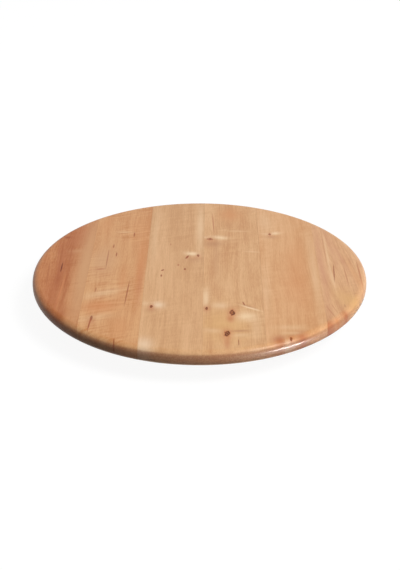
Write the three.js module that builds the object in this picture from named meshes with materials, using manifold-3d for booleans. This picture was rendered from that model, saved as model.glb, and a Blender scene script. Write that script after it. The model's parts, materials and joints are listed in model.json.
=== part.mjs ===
// A wooden lazy susan: a round serving board that spins on a pressed-steel ball-bearing swivel,
// which stands on a smaller round wooden base with four rubber feet.
//
// Millimetres, +Z up. The origin is at the middle of the sole plane, under the turning axis, and the
// grain of both boards runs along Y. Everything is stacked upwards from z = 0:
// feet, base disc, swivel, serving board.
import * as THREE from "three";
import { mergeVertices } from "three/addons/utils/BufferGeometryUtils.js";
import Module from "manifold-3d";

const wasm = await Module();
wasm.setup();

// ---------------------------------------------------------------- driving dimensions

// Serving board: an edge-glued panel of six full-length staves, turned round.
const BOARD_RADIUS = 195;
const BOARD_THICKNESS = 18;
const BOARD_RIM_RADIUS = 8; // quarter rounds on both edges, with a narrow straight land between them
const BOARD_JOINTS = [-129.75, -62.5, 4.75, 72, 139.25]; // glue lines, one every 67.25 mm
const BOARD_FACETS = 80;

// Base disc: a smaller turned disc of the same kind of panel.
const BASE_RADIUS = 110;
const BASE_THICKNESS = 12;
const BASE_RIM_RADIUS = 3;
const BASE_JOINTS = [-84, -16.75, 50.5];
const BASE_FACETS = 56;
const ACCESS_HOLE_RADIUS = 8; // a screwdriver reaches the upper plate's screws through it
const ACCESS_HOLE_FACETS = 20;

// Rubber feet, each let into a shallow recess and held by a screw on a washer.
const FOOT_RADIUS = 8;
const FOOT_STANDING_HEIGHT = 4;
const FOOT_RECESS_DEPTH = 1;
const FOOT_CIRCLE_RADIUS = 88;
const FOOT_CORNER_RADIUS = 1;
const FOOT_FACETS = 20;
const FOOT_POCKET_RADIUS = 4.4;
const FOOT_POCKET_DEPTH = 3.4;
const WASHER_RADIUS = 4;
const WASHER_THICKNESS = 0.6;
const WASHER_FACETS = 12;

// Swivel: two square pressed plates with a ball track between them.
const SWIVEL_HEIGHT = 8;
const SHEET = 1.2;
const PLATE_SIDE = 102;
const PLATE_CORNER_RADIUS = 9;
const PLATE_HOLE_SPACING = 89;
const PLATE_HOLE_RADIUS = 2.25;
const PLATE_HOLE_FACETS = 12;
const TRACK_RADIUS = 27.2;
const BALL_RADIUS = 2.38;
const BALL_COUNT = 16;
const GROOVE_CLEARANCE = 0.15;
const TRACK_FACE = 1.2; // the track zone's inner face, above or below the swivel's middle plane
const TRACK_ZONE_RADIUS = 33.2; // where the plate steps out from the track zone to its flange
const STEP_RUN = 2.6;
const FLANGE_OVERLAP = 3;
const HUB_RADIUS = 18.6;
const HUB_TO_PLATE = 0.8;
const LIP_RADIUS = 22.4; // the hub's curled lip hooks over the upper plate's inner edge
const LIP_CLEARANCE = 0.25;
const LIP_THICKNESS = 1.1;
const SWIVEL_FACETS = 32;

// Ball cage: a flat ring with a pocket for each ball.
const CAGE_INNER_RADIUS = 22.7;
const CAGE_OUTER_RADIUS = 31.7;
const CAGE_THICKNESS = 1.8;
const POCKET_RADIUS = 2.65;
const POCKET_FACETS = 10;

// Pan-head wood screws. The shank is drawn at its core diameter, which a pilot hole clears.
const SCREW_CORE_RADIUS = 1.2;
const SCREW_HEAD_RADIUS = 3.5;
const SCREW_HEAD_HEIGHT = 2.1;
const SCREW_HEAD_SIDE = 0.8; // the straight side of the head, below its crown
const SCREW_POINT_LENGTH = 3;
const SCREW_FACETS = 10;
const PILOT_RADIUS = 1.5;
const PILOT_EXTRA_DEPTH = 1;
const CROSS_LENGTH = 3.4;
const CROSS_WIDTH = 0.8;
const CROSS_DEPTH = 1.1;
const UPPER_SCREW_LENGTH = 12;
const LOWER_SCREW_LENGTH = 10;
const FOOT_SCREW_LENGTH = 10;

// Levels, worked out from the sizes above.
const BASE_BOTTOM = FOOT_STANDING_HEIGHT;
const BASE_TOP = BASE_BOTTOM + BASE_THICKNESS;
const SWIVEL_MIDDLE = BASE_TOP + SWIVEL_HEIGHT / 2;
const BOARD_BOTTOM = BASE_TOP + SWIVEL_HEIGHT;
const FOOT_HEIGHT = FOOT_STANDING_HEIGHT + FOOT_RECESS_DEPTH;
const PLATE_HOLE_CIRCLE_RADIUS = (PLATE_HOLE_SPACING / 2) * Math.SQRT2;

// The swivel's corner screws and the feet sit on the diagonals.
const DIAGONALS = [45, 135, 225, 315].map(THREE.MathUtils.degToRad);
const FIT_GAP = 0.3; // between a round piece and the hole that it sits in
const OVERCUT = 1; // how far a cutter runs past the face that it cuts

// ---------------------------------------------------------------- materials

const paint = (color, roughness, metalness = 0) =>
  new THREE.MeshStandardMaterial({ color, roughness, metalness });

const boardWood = paint(0xd4a574, 0.4);
const baseWood = paint(0xc99a68, 0.5);
const zincSteel = paint(0xb9bcc0, 0.4, 1);
const ballSteel = paint(0xd8dade, 0.12, 1);
const nylon = paint(0xe9e6dc, 0.5);
const rubber = paint(0x2b2a29, 0.8);

// ---------------------------------------------------------------- solids from three.js shapes

// A closed three.js geometry as a manifold solid.
function solid(geometry) {
  const bare = geometry.index ? geometry.toNonIndexed() : geometry.clone();
  bare.deleteAttribute("normal");
  bare.deleteAttribute("uv");
  const merged = mergeVertices(bare, 1e-4);
  return new wasm.Manifold(
    new wasm.Mesh({
      numProp: 3,
      vertProperties: merged.attributes.position.array,
      triVerts: new Uint32Array(merged.index.array),
    }),
  );
}

// A manifold solid as a flat-shaded mesh.
function meshOf(name, made, material) {
  const { numProp, numVert, vertProperties, triVerts } = made.getMesh();
  const positions = new Float32Array(numVert * 3);
  for (let i = 0; i < numVert; i++) {
    positions.set(vertProperties.subarray(i * numProp, i * numProp + 3), i * 3);
  }
  const indexed = new THREE.BufferGeometry()
    .setAttribute("position", new THREE.BufferAttribute(positions, 3))
    .setIndex(new THREE.BufferAttribute(triVerts, 1));
  const geometry = indexed.toNonIndexed();
  geometry.computeVertexNormals();
  const mesh = new THREE.Mesh(geometry, material);
  mesh.name = name;
  return mesh;
}

// A shape drawn as (radius, height), turned about Z. A shape with a side on the axis is left open
// there, and any other closes on itself.
function turned(shape, facets, curveDivisions = 2) {
  const points = shape.getPoints(curveDivisions);
  if (points[0].equals(points.at(-1))) points.pop();
  if (THREE.ShapeUtils.area(points) < 0) points.reverse();
  const onAxis = points.filter((point) => point.x === 0).length;
  if (onAxis) {
    while (!(points[0].x === 0 && points.at(-1).x === 0)) points.push(points.shift());
  } else {
    points.push(points[0].clone());
  }
  return solid(new THREE.LatheGeometry(points, facets).rotateX(Math.PI / 2));
}

// A flat shape in XY, raised from z = bottom to z = top.
function raised(shape, bottom, top) {
  const options = { depth: top - bottom, bevelEnabled: false, curveSegments: 2 };
  return solid(new THREE.ExtrudeGeometry(shape, options).translate(0, 0, bottom));
}

// An upright rod, which cuts round holes.
function rod(radius, bottom, top, x, y, facets) {
  const geometry = new THREE.CylinderGeometry(radius, radius, top - bottom, facets)
    .rotateX(Math.PI / 2)
    .translate(x, y, (bottom + top) / 2);
  return solid(geometry);
}

function block(lowX, highX, lowY, highY, bottom, top) {
  const geometry = new THREE.BoxGeometry(highX - lowX, highY - lowY, top - bottom)
    .translate((lowX + highX) / 2, (lowY + highY) / 2, (bottom + top) / 2);
  return solid(geometry);
}

// The four points of a square pattern, on the diagonals at a given distance from the axis.
function diagonalPoints(radius) {
  return DIAGONALS.map((angle) => ({
    x: radius * Math.cos(angle),
    y: radius * Math.sin(angle),
  }));
}

// ---------------------------------------------------------------- the two wooden discs

// A solid disc with rounded rims, from z = 0 up to its thickness.
function roundedDisc(radius, thickness, rim, facets, curveDivisions) {
  const profile = new THREE.Shape()
    .moveTo(0, 0)
    .lineTo(radius - rim, 0)
    .absarc(radius - rim, rim, rim, -Math.PI / 2, 0)
    .lineTo(radius, thickness - rim)
    .absarc(radius - rim, thickness - rim, rim, 0, Math.PI / 2)
    .lineTo(0, thickness);
  return turned(profile, facets, curveDivisions);
}

// Slices a disc along its glue lines and names the slices from -X to +X.
function staves(disc, radius, thickness, joints, name, material) {
  const edges = [-radius - OVERCUT, ...joints, radius + OVERCUT];
  return joints.concat(edges.at(-1)).map((right, i) => {
    const slice = block(edges[i], right, edges[0], edges.at(-1), -OVERCUT, thickness + OVERCUT);
    return meshOf(`${name}_${i + 1}`, disc.intersect(slice), material);
  });
}

function servingBoard() {
  let disc = roundedDisc(BOARD_RADIUS, BOARD_THICKNESS, BOARD_RIM_RADIUS, BOARD_FACETS, 2);
  const pilotDepth = UPPER_SCREW_LENGTH - SHEET + PILOT_EXTRA_DEPTH;
  for (const { x, y } of diagonalPoints(PLATE_HOLE_CIRCLE_RADIUS)) {
    disc = disc.subtract(rod(PILOT_RADIUS, -OVERCUT, pilotDepth, x, y, SCREW_FACETS));
  }
  const board = new THREE.Group();
  board.position.z = BOARD_BOTTOM;
  board.add(...staves(disc, BOARD_RADIUS, BOARD_THICKNESS, BOARD_JOINTS, "board_stave", boardWood));
  return board;
}

function baseDisc() {
  let disc = roundedDisc(BASE_RADIUS, BASE_THICKNESS, BASE_RIM_RADIUS, BASE_FACETS, 1);
  const pilotDepth = LOWER_SCREW_LENGTH - SHEET + PILOT_EXTRA_DEPTH;
  for (const { x, y } of diagonalPoints(PLATE_HOLE_CIRCLE_RADIUS)) {
    const bottom = BASE_THICKNESS - pilotDepth;
    disc = disc.subtract(rod(PILOT_RADIUS, bottom, BASE_THICKNESS + OVERCUT, x, y, SCREW_FACETS));
  }
  const footPilotTop = FOOT_SCREW_LENGTH - BASE_BOTTOM + FOOT_POCKET_DEPTH;
  for (const { x, y } of diagonalPoints(FOOT_CIRCLE_RADIUS)) {
    disc = disc.subtract(rod(FOOT_RADIUS + FIT_GAP, -OVERCUT, FOOT_RECESS_DEPTH, x, y, FOOT_FACETS));
    disc = disc.subtract(rod(PILOT_RADIUS, -OVERCUT, footPilotTop, x, y, SCREW_FACETS));
  }
  disc = disc.subtract(
    rod(
      ACCESS_HOLE_RADIUS,
      -OVERCUT,
      BASE_THICKNESS + OVERCUT,
      0,
      PLATE_HOLE_CIRCLE_RADIUS,
      ACCESS_HOLE_FACETS,
    ),
  );
  const base = new THREE.Group();
  base.position.z = BASE_BOTTOM;
  base.add(...staves(disc, BASE_RADIUS, BASE_THICKNESS, BASE_JOINTS, "base_stave", baseWood));
  return base;
}

// ---------------------------------------------------------------- the swivel

// Half the width of a groove's arc where it meets a flat face at this height.
const grooveHalfWidth = (radius, face) => Math.sqrt(radius ** 2 - face ** 2);

// Draws a plate's formed section, from the track zone's inner edge out to the flange and back.
// The inner face is the one that the balls run on.
function formedSection(shape) {
  const inner = BALL_RADIUS + GROOVE_CLEARANCE;
  const outer = inner + SHEET;
  const backFace = TRACK_FACE + SHEET;
  const flangeFace = SWIVEL_HEIGHT / 2 - SHEET;
  const innerAngle = Math.asin(TRACK_FACE / inner);
  const outerAngle = Math.asin(backFace / outer);
  const flangeEdge = TRACK_ZONE_RADIUS + STEP_RUN + FLANGE_OVERLAP;
  return shape
    .lineTo(TRACK_RADIUS - grooveHalfWidth(inner, TRACK_FACE), TRACK_FACE)
    .absarc(TRACK_RADIUS, 0, inner, Math.PI - innerAngle, innerAngle, true)
    .lineTo(TRACK_ZONE_RADIUS, TRACK_FACE)
    .lineTo(TRACK_ZONE_RADIUS + STEP_RUN, flangeFace)
    .lineTo(flangeEdge, flangeFace)
    .lineTo(flangeEdge, flangeFace + SHEET)
    .lineTo(TRACK_ZONE_RADIUS + STEP_RUN - SHEET / 3, flangeFace + SHEET)
    .lineTo(TRACK_ZONE_RADIUS - SHEET / 2, backFace)
    .lineTo(TRACK_RADIUS + grooveHalfWidth(outer, backFace), backFace)
    .absarc(TRACK_RADIUS, 0, outer, outerAngle, Math.PI - outerAngle);
}

// The square flange around the formed section, with its corner holes.
function squareFlange() {
  const half = PLATE_SIDE / 2;
  const straight = half - PLATE_CORNER_RADIUS;
  const outline = new THREE.Shape().moveTo(half, -straight);
  for (let corner = 0; corner < 4; corner++) {
    const [x, y] = [[1, 1], [-1, 1], [-1, -1], [1, -1]][corner];
    const start = (corner * Math.PI) / 2;
    outline.absarc(x * straight, y * straight, PLATE_CORNER_RADIUS, start, start + Math.PI / 2);
  }
  const middle = TRACK_ZONE_RADIUS + STEP_RUN + FLANGE_OVERLAP / 2;
  const flangeFace = SWIVEL_HEIGHT / 2 - SHEET;
  let flange = raised(outline, flangeFace, flangeFace + SHEET);
  flange = flange.subtract(rod(middle, 0, SWIVEL_HEIGHT, 0, 0, SWIVEL_FACETS));
  for (const { x, y } of diagonalPoints(PLATE_HOLE_CIRCLE_RADIUS)) {
    flange = flange.subtract(rod(PLATE_HOLE_RADIUS, 0, SWIVEL_HEIGHT, x, y, PLATE_HOLE_FACETS));
  }
  return flange;
}

// The upper plate screws to the board. Its inner edge is held down by the lower plate's lip.
function upperPlate() {
  const innerEdge = HUB_RADIUS + HUB_TO_PLATE;
  const section = formedSection(new THREE.Shape().moveTo(innerEdge, TRACK_FACE))
    .lineTo(innerEdge, TRACK_FACE + SHEET);
  const plate = turned(section, SWIVEL_FACETS).add(squareFlange());
  return meshOf("upper_bearing_plate", plate, zincSteel);
}

// The lower plate screws to the base. It is drawn the same way up as the upper plate and then
// turned over, so its hub and lip are drawn below the middle plane.
function lowerPlate() {
  const lipTop = -(TRACK_FACE + SHEET + LIP_CLEARANCE);
  const lipBottom = lipTop - LIP_THICKNESS;
  const hubBore = HUB_RADIUS - SHEET;
  const start = new THREE.Shape()
    .moveTo(hubBore, lipBottom)
    .lineTo(LIP_RADIUS, lipBottom)
    .lineTo(LIP_RADIUS, lipTop)
    .lineTo(HUB_RADIUS, lipTop)
    .lineTo(HUB_RADIUS, TRACK_FACE);
  const section = formedSection(start).lineTo(hubBore, TRACK_FACE + SHEET);
  const plate = meshOf(
    "lower_bearing_plate",
    turned(section, SWIVEL_FACETS).add(squareFlange()),
    zincSteel,
  );
  plate.rotation.x = Math.PI;
  return plate;
}

// Where each ball sits on the track circle.
const ballPlaces = Array.from({ length: BALL_COUNT }, (_, i) => {
  const angle = (2 * Math.PI * i) / BALL_COUNT;
  return { x: TRACK_RADIUS * Math.cos(angle), y: TRACK_RADIUS * Math.sin(angle) };
});

function ballCage() {
  const half = CAGE_THICKNESS / 2;
  const section = new THREE.Shape()
    .moveTo(CAGE_INNER_RADIUS, -half)
    .lineTo(CAGE_OUTER_RADIUS, -half)
    .lineTo(CAGE_OUTER_RADIUS, half)
    .lineTo(CAGE_INNER_RADIUS, half);
  let ring = turned(section, SWIVEL_FACETS);
  for (const { x, y } of ballPlaces) {
    ring = ring.subtract(rod(POCKET_RADIUS, -CAGE_THICKNESS, CAGE_THICKNESS, x, y, POCKET_FACETS));
  }
  return meshOf("ball_cage", ring, nylon);
}

function balls() {
  return ballPlaces.map(({ x, y }, i) => {
    const ball = new THREE.Mesh(new THREE.IcosahedronGeometry(BALL_RADIUS, 1), ballSteel);
    ball.name = `ball_${i + 1}`;
    ball.position.set(x, y, 0);
    return ball;
  });
}

function swivel() {
  const group = new THREE.Group();
  group.position.z = SWIVEL_MIDDLE;
  group.add(upperPlate(), lowerPlate(), ballCage(), ...balls());
  return group;
}

// ---------------------------------------------------------------- screws, washers and feet

// A screw with its head's underside at z = 0, its head above and its point below.
function screwGeometry(length) {
  const profile = new THREE.Shape()
    .moveTo(0, -length)
    .lineTo(SCREW_CORE_RADIUS, SCREW_POINT_LENGTH - length)
    .lineTo(SCREW_CORE_RADIUS, 0)
    .lineTo(SCREW_HEAD_RADIUS, 0)
    .lineTo(SCREW_HEAD_RADIUS, SCREW_HEAD_SIDE)
    .quadraticCurveTo(SCREW_HEAD_RADIUS, SCREW_HEAD_HEIGHT, 0, SCREW_HEAD_HEIGHT);
  const long = CROSS_LENGTH / 2;
  const wide = CROSS_WIDTH / 2;
  const floor = SCREW_HEAD_HEIGHT - CROSS_DEPTH;
  const top = SCREW_HEAD_HEIGHT + OVERCUT;
  return turned(profile, SCREW_FACETS)
    .subtract(block(-long, long, -wide, wide, floor, top))
    .subtract(block(-wide, wide, -long, long, floor, top));
}

function screws(name, length, circleRadius, height, headDown) {
  const screw = screwGeometry(length);
  return diagonalPoints(circleRadius).map(({ x, y }, i) => {
    const mesh = meshOf(`${name}_${i + 1}`, screw, zincSteel);
    mesh.position.set(x, y, height);
    if (headDown) mesh.rotation.x = Math.PI;
    return mesh;
  });
}

// A rubber foot with its sole at z = 0 and a pocket in the sole for the washer and the screw head.
function rubberFeet() {
  const shankHole = SCREW_CORE_RADIUS + 2 * FIT_GAP;
  const profile = new THREE.Shape()
    .moveTo(FOOT_POCKET_RADIUS, 0)
    .lineTo(FOOT_RADIUS - FOOT_CORNER_RADIUS, 0)
    .absarc(FOOT_RADIUS - FOOT_CORNER_RADIUS, FOOT_CORNER_RADIUS, FOOT_CORNER_RADIUS, -Math.PI / 2, 0)
    .lineTo(FOOT_RADIUS, FOOT_HEIGHT)
    .lineTo(shankHole, FOOT_HEIGHT)
    .lineTo(shankHole, FOOT_POCKET_DEPTH)
    .lineTo(FOOT_POCKET_RADIUS, FOOT_POCKET_DEPTH);
  const foot = turned(profile, FOOT_FACETS, 1);
  return diagonalPoints(FOOT_CIRCLE_RADIUS).map(({ x, y }, i) => {
    const mesh = meshOf(`rubber_foot_${i + 1}`, foot, rubber);
    mesh.position.set(x, y, 0);
    return mesh;
  });
}

function footWashers() {
  const shankHole = SCREW_CORE_RADIUS + FIT_GAP;
  const profile = new THREE.Shape()
    .moveTo(shankHole, 0)
    .lineTo(WASHER_RADIUS, 0)
    .lineTo(WASHER_RADIUS, WASHER_THICKNESS)
    .lineTo(shankHole, WASHER_THICKNESS);
  const washer = turned(profile, WASHER_FACETS);
  return diagonalPoints(FOOT_CIRCLE_RADIUS).map(({ x, y }, i) => {
    const mesh = meshOf(`foot_washer_${i + 1}`, washer, zincSteel);
    mesh.position.set(x, y, FOOT_POCKET_DEPTH - WASHER_THICKNESS);
    return mesh;
  });
}

// ---------------------------------------------------------------- the assembly

const footHeadSeat = FOOT_POCKET_DEPTH - WASHER_THICKNESS;
const lowerHeadSeat = BASE_TOP + SHEET;
const upperHeadSeat = BOARD_BOTTOM - SHEET;

const lazySusan = new THREE.Group();
lazySusan.add(
  servingBoard(),
  swivel(),
  baseDisc(),
  ...screws("upper_plate_screw", UPPER_SCREW_LENGTH, PLATE_HOLE_CIRCLE_RADIUS, upperHeadSeat, true),
  ...screws("lower_plate_screw", LOWER_SCREW_LENGTH, PLATE_HOLE_CIRCLE_RADIUS, lowerHeadSeat, false),
  ...rubberFeet(),
  ...footWashers(),
  ...screws("foot_screw", FOOT_SCREW_LENGTH, FOOT_CIRCLE_RADIUS, footHeadSeat, true),
);

export default lazySusan;
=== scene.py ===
# %% [markdown]
# # A wooden lazy susan
# A round serving board turns on a flat ball-bearing swivel, which stands on a smaller wooden base
# with rubber feet. The mechanical model already exists as plain solids, and this lesson builds the
# fine surfaces around them: planks with real grain, pressed steel, moulded nylon and rubber.
# Everything is in metres. The turning axis is Z, and the grain of the planks runs along Y.

import json
import math
from dataclasses import dataclass

import bmesh
import bpy
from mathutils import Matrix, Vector

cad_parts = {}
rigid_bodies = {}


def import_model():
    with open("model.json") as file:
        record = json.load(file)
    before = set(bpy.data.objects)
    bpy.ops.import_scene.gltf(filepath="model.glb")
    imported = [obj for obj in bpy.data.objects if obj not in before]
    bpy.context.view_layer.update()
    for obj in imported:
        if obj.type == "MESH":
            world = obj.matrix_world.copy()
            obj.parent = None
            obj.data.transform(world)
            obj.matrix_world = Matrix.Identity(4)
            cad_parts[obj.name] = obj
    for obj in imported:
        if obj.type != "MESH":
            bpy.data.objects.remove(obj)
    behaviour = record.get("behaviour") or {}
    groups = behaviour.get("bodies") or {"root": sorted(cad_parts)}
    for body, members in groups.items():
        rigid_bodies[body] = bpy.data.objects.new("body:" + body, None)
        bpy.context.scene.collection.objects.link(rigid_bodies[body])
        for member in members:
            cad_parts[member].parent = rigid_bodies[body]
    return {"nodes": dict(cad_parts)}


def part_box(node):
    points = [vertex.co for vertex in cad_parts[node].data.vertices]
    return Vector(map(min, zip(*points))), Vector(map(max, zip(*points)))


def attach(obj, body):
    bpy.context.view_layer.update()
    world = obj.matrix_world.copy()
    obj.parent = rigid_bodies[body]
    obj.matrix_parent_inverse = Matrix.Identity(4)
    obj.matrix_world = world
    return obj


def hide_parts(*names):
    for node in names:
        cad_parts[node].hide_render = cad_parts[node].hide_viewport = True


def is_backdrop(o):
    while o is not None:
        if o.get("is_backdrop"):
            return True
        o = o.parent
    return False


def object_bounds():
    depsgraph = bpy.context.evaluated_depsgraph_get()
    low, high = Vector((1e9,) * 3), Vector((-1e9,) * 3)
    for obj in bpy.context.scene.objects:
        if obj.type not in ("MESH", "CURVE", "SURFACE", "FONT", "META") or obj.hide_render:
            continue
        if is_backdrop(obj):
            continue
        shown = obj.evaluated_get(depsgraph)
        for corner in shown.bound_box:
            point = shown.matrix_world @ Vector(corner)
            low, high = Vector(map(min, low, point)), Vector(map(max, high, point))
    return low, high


bpy.ops.object.select_all(action="SELECT")
bpy.ops.object.delete()
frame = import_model()
cad_low, cad_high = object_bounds()
MM = 0.001
print("solids in the model:", len(frame["nodes"]))

# %% [markdown]
# ## Sizes that everything shares
# The boxes of the plain solids say where each piece belongs, so the places are read from them
# instead of being typed again. Only what a box can't tell, such as the radius of a groove, is a
# number here.

# %% Read the levels and radii
BOARD_RADIUS = cad_high.x
BOARD_TOP = cad_high.z
BOARD_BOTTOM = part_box("board_stave_3")[0].z
BASE_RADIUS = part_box("base_stave_3")[1].y
BASE_BOTTOM, BASE_TOP = (corner.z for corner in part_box("base_stave_1"))
SWIVEL_MIDDLE = (BASE_TOP + BOARD_BOTTOM) / 2
SHEET = 1.2 * MM
print(f"board {BOARD_BOTTOM:.4f} to {BOARD_TOP:.4f}, swivel's middle plane {SWIVEL_MIDDLE:.4f}")

# %% [markdown]
# ## The camera
# The board is seen from the front and from above, through a long lens that flattens it a little.
# A camera could be dragged into place by eye. Here it is placed by its distance and its angles from
# the middle of the board, which are easier to put right later, and a direction turned into a
# rotation points it at the middle of the object.

# %% Place the camera
CAMERA_DISTANCE = 1.411
CAMERA_HEIGHT_ANGLE = math.radians(27.07)
CAMERA_SIDE_ANGLE = math.radians(0.68)
CAMERA_AIM = Vector((0.0006, 0, 0.0195))

board_middle = Vector((0, 0, (BOARD_BOTTOM + BOARD_TOP) / 2))
towards_camera = Vector((
    math.cos(CAMERA_HEIGHT_ANGLE) * math.sin(CAMERA_SIDE_ANGLE),
    -math.cos(CAMERA_HEIGHT_ANGLE) * math.cos(CAMERA_SIDE_ANGLE),
    math.sin(CAMERA_HEIGHT_ANGLE),
))
bpy.ops.object.select_all(action="DESELECT")
bpy.ops.object.camera_add(location=board_middle + CAMERA_DISTANCE * towards_camera)
camera = bpy.context.object
camera.name = "camera"
camera.rotation_euler = (CAMERA_AIM - camera.location).to_track_quat("-Z", "Y").to_euler()
camera.data.lens = 75.7
camera.data.sensor_width = 36
bpy.context.scene.camera = camera
print("camera at", tuple(round(c, 3) for c in camera.location))

# %% [markdown]
# ## Helpers for modelling by operators
# Blender's operators act on whatever is selected, so every helper first clears the selection.
# A piece starts as a primitive, is shaped in edit mode, and is finished with modifiers.

# %% Start, select, modify and copy pieces
def start(name, primitive, **settings):
    """Adds a primitive, names it and applies its place to its mesh."""
    bpy.ops.object.select_all(action="DESELECT")
    primitive(**settings)
    piece = bpy.context.object
    piece.name = name
    piece.data.name = name
    bpy.ops.object.transform_apply(location=True, rotation=True, scale=True)
    return piece


def cylinder(name, radius, bottom, top, steps, x=0, y=0):
    """Adds an upright cylinder from one height to another."""
    middle = (x, y, (top + bottom) / 2)
    add = bpy.ops.mesh.primitive_cylinder_add
    return start(name, add, vertices=steps, radius=radius, depth=top - bottom, location=middle)


def pick(piece):
    """Makes a piece the only selected and the active one."""
    bpy.ops.object.select_all(action="DESELECT")
    piece.select_set(True)
    bpy.context.view_layer.objects.active = piece


def edit(piece):
    """Opens a piece in edit mode with all of it selected."""
    pick(piece)
    bpy.ops.object.mode_set(mode="EDIT")
    bpy.ops.mesh.select_mode(type="VERT")
    bpy.ops.mesh.select_all(action="SELECT")


def done():
    """Leaves edit mode."""
    bpy.ops.object.mode_set(mode="OBJECT")


def choose(piece, kind, test):
    """In edit mode, selects only the VERT, EDGE or FACE elements that pass a test."""
    bpy.ops.mesh.select_mode(type=kind)
    bpy.ops.mesh.select_all(action="DESELECT")
    mesh = bmesh.from_edit_mesh(piece.data)
    elements = {"VERT": mesh.verts, "EDGE": mesh.edges, "FACE": mesh.faces}[kind]
    for element in elements:
        if test(element):
            element.select_set(True)
    bmesh.update_edit_mesh(piece.data)


def modify(piece, kind, **settings):
    """Adds a modifier, sets it up and applies it."""
    pick(piece)
    modifier = piece.modifiers.new(kind.lower(), kind)
    for setting, value in settings.items():
        setattr(modifier, setting, value)
    bpy.ops.object.modifier_apply(modifier=modifier.name)


def combine(piece, operation, other):
    """Cuts a piece with another, or joins the two, and removes the other."""
    modify(piece, "BOOLEAN", operation=operation, object=other, solver="EXACT")
    bpy.data.objects.remove(other)


def copy_of(piece, name, offset=(0, 0, 0), turned_over=False):
    """A copy with a mesh of its own, moved by an offset and perhaps turned upside down."""
    pick(piece)
    bpy.ops.object.duplicate()
    twin = bpy.context.object
    twin.name = name
    twin.data.name = name
    if turned_over:
        twin.rotation_euler.x = math.pi
    twin.location = offset
    bpy.ops.object.transform_apply(location=True, rotation=True, scale=True)
    return twin


def smooth(piece, degrees=35):
    """Shades rounded surfaces smooth and keeps sharper edges crisp."""
    pick(piece)
    bpy.ops.object.shade_smooth_by_angle(angle=math.radians(degrees))


def mount(piece, body, node):
    """Ties a piece to the body that it rides on, and hides the plain solid that it stands for."""
    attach(piece, body)
    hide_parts(node)


print("helpers ready")

# %% [markdown]
# ## Turned pieces
# Many pieces here are round: plates, rings, screws and feet. Each is drawn as half of its
# cross-section and spun about the Z axis, as on a lathe. The outline starts as one corner, made by
# merging a small plane, and grows by extruding that corner from point to point.

# %% Draw an outline and spin it
COARSE_STEPS = 48
MEDIUM_STEPS = 64
FINE_STEPS = 128


def arc(centre, radius, first, last, segments):
    """Points along an arc, from the first angle to the last, in degrees."""
    angles = [
        math.radians(first + (last - first) * i / segments) for i in range(segments + 1)
    ]
    return [
        (centre[0] + radius * math.cos(a), centre[1] + radius * math.sin(a)) for a in angles
    ]


def drawn(name, outline):
    """Draws a closed outline through (radius, height) points, and stays in edit mode."""
    first = Vector((outline[0][0], 0, outline[0][1]))
    piece = start(name, bpy.ops.mesh.primitive_plane_add, size=MM, location=first)
    edit(piece)
    bpy.ops.mesh.merge(type="CENTER")
    for before, after in zip(outline, outline[1:]):
        move = (after[0] - before[0], 0, after[1] - before[1])
        bpy.ops.mesh.extrude_vertices_move(TRANSFORM_OT_translate={"value": move})
    bpy.ops.mesh.select_all(action="SELECT")
    bpy.ops.mesh.edge_face_add()
    bpy.ops.mesh.delete(type="ONLY_FACE")
    return piece


def spun(name, outline, steps):
    """Spins a closed outline of (radius, height) points into a solid."""
    piece = drawn(name, outline)
    bpy.ops.mesh.select_all(action="SELECT")
    bpy.ops.mesh.spin(steps=steps, angle=2 * math.pi, center=(0, 0, 0), axis=(0, 0, 1))
    bpy.ops.mesh.select_all(action="SELECT")
    bpy.ops.mesh.remove_doubles(threshold=0.001 * MM)
    bpy.ops.mesh.normals_make_consistent(inside=False)
    done()
    return piece


def report(piece):
    """Prints how many faces a piece has and whether its surface is closed."""
    mesh = bmesh.new()
    mesh.from_mesh(piece.data)
    open_edges = sum(not edge.is_manifold for edge in mesh.edges)
    print(f"{piece.name}: {len(mesh.faces)} faces, {open_edges} open edges, "
          f"volume {mesh.calc_volume(signed=True) * 1e9:.0f} mm3")
    mesh.free()


# %% [markdown]
# ## The planks of the serving board
# The real board is a glued panel of parallel planks, sawn round and then rounded over with a
# router. It is made the same way here: one disc is a cylinder whose two rims get a wide bevel, and
# each plank is a copy of the disc that two bisections trim along its glue lines. A cut is filled,
# so each plank is a closed piece of wood with square glue faces. One disc with painted glue lines
# would look alike from afar, but separate planks can each have a grain of their own.

# %% Turn a wooden disc
BOARD_RIM = 8 * MM
BASE_RIM = 3 * MM
RIM_STEPS = 240
RIM_BEVEL_STEPS = 12
FACE_INSET = 0.5 * MM


def wooden_disc(name, radius, bottom, top, rim):
    """A round board with both rims rounded over. A narrow ring inset in each flat face keeps the
    face from bending the shading of the rim."""
    disc = cylinder(name, radius, bottom, top, RIM_STEPS)
    edit(disc)
    choose(disc, "EDGE", lambda edge: abs(edge.verts[0].co.z - edge.verts[1].co.z) < rim / 10)
    bpy.ops.mesh.bevel(offset=rim, segments=RIM_BEVEL_STEPS, affect="EDGES")
    choose(disc, "FACE", lambda face: len(face.verts) == RIM_STEPS)
    bpy.ops.mesh.inset(thickness=FACE_INSET)
    done()
    return disc


def planks(disc, node_stem, name_stem, count):
    """Trims copies of a disc to the planks of the plain model."""
    made = []
    for number in range(1, count + 1):
        low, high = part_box(f"{node_stem}_{number}")
        plank = copy_of(disc, f"{name_stem}_{number}")
        edit(plank)
        if number > 1:
            bpy.ops.mesh.bisect(
                plane_co=(low.x, 0, 0), plane_no=(1, 0, 0), use_fill=True, clear_inner=True
            )
            bpy.ops.mesh.select_all(action="SELECT")
        if number < count:
            bpy.ops.mesh.bisect(
                plane_co=(high.x, 0, 0), plane_no=(1, 0, 0), use_fill=True, clear_outer=True
            )
        done()
        smooth(plank)
        made.append(plank)
    bpy.data.objects.remove(disc)
    return made


board_disc = wooden_disc("board_disc", BOARD_RADIUS, BOARD_BOTTOM, BOARD_TOP, BOARD_RIM)
board_planks = planks(board_disc, "board_stave", "board_plank", 6)
for piece in board_planks:
    report(piece)

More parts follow.
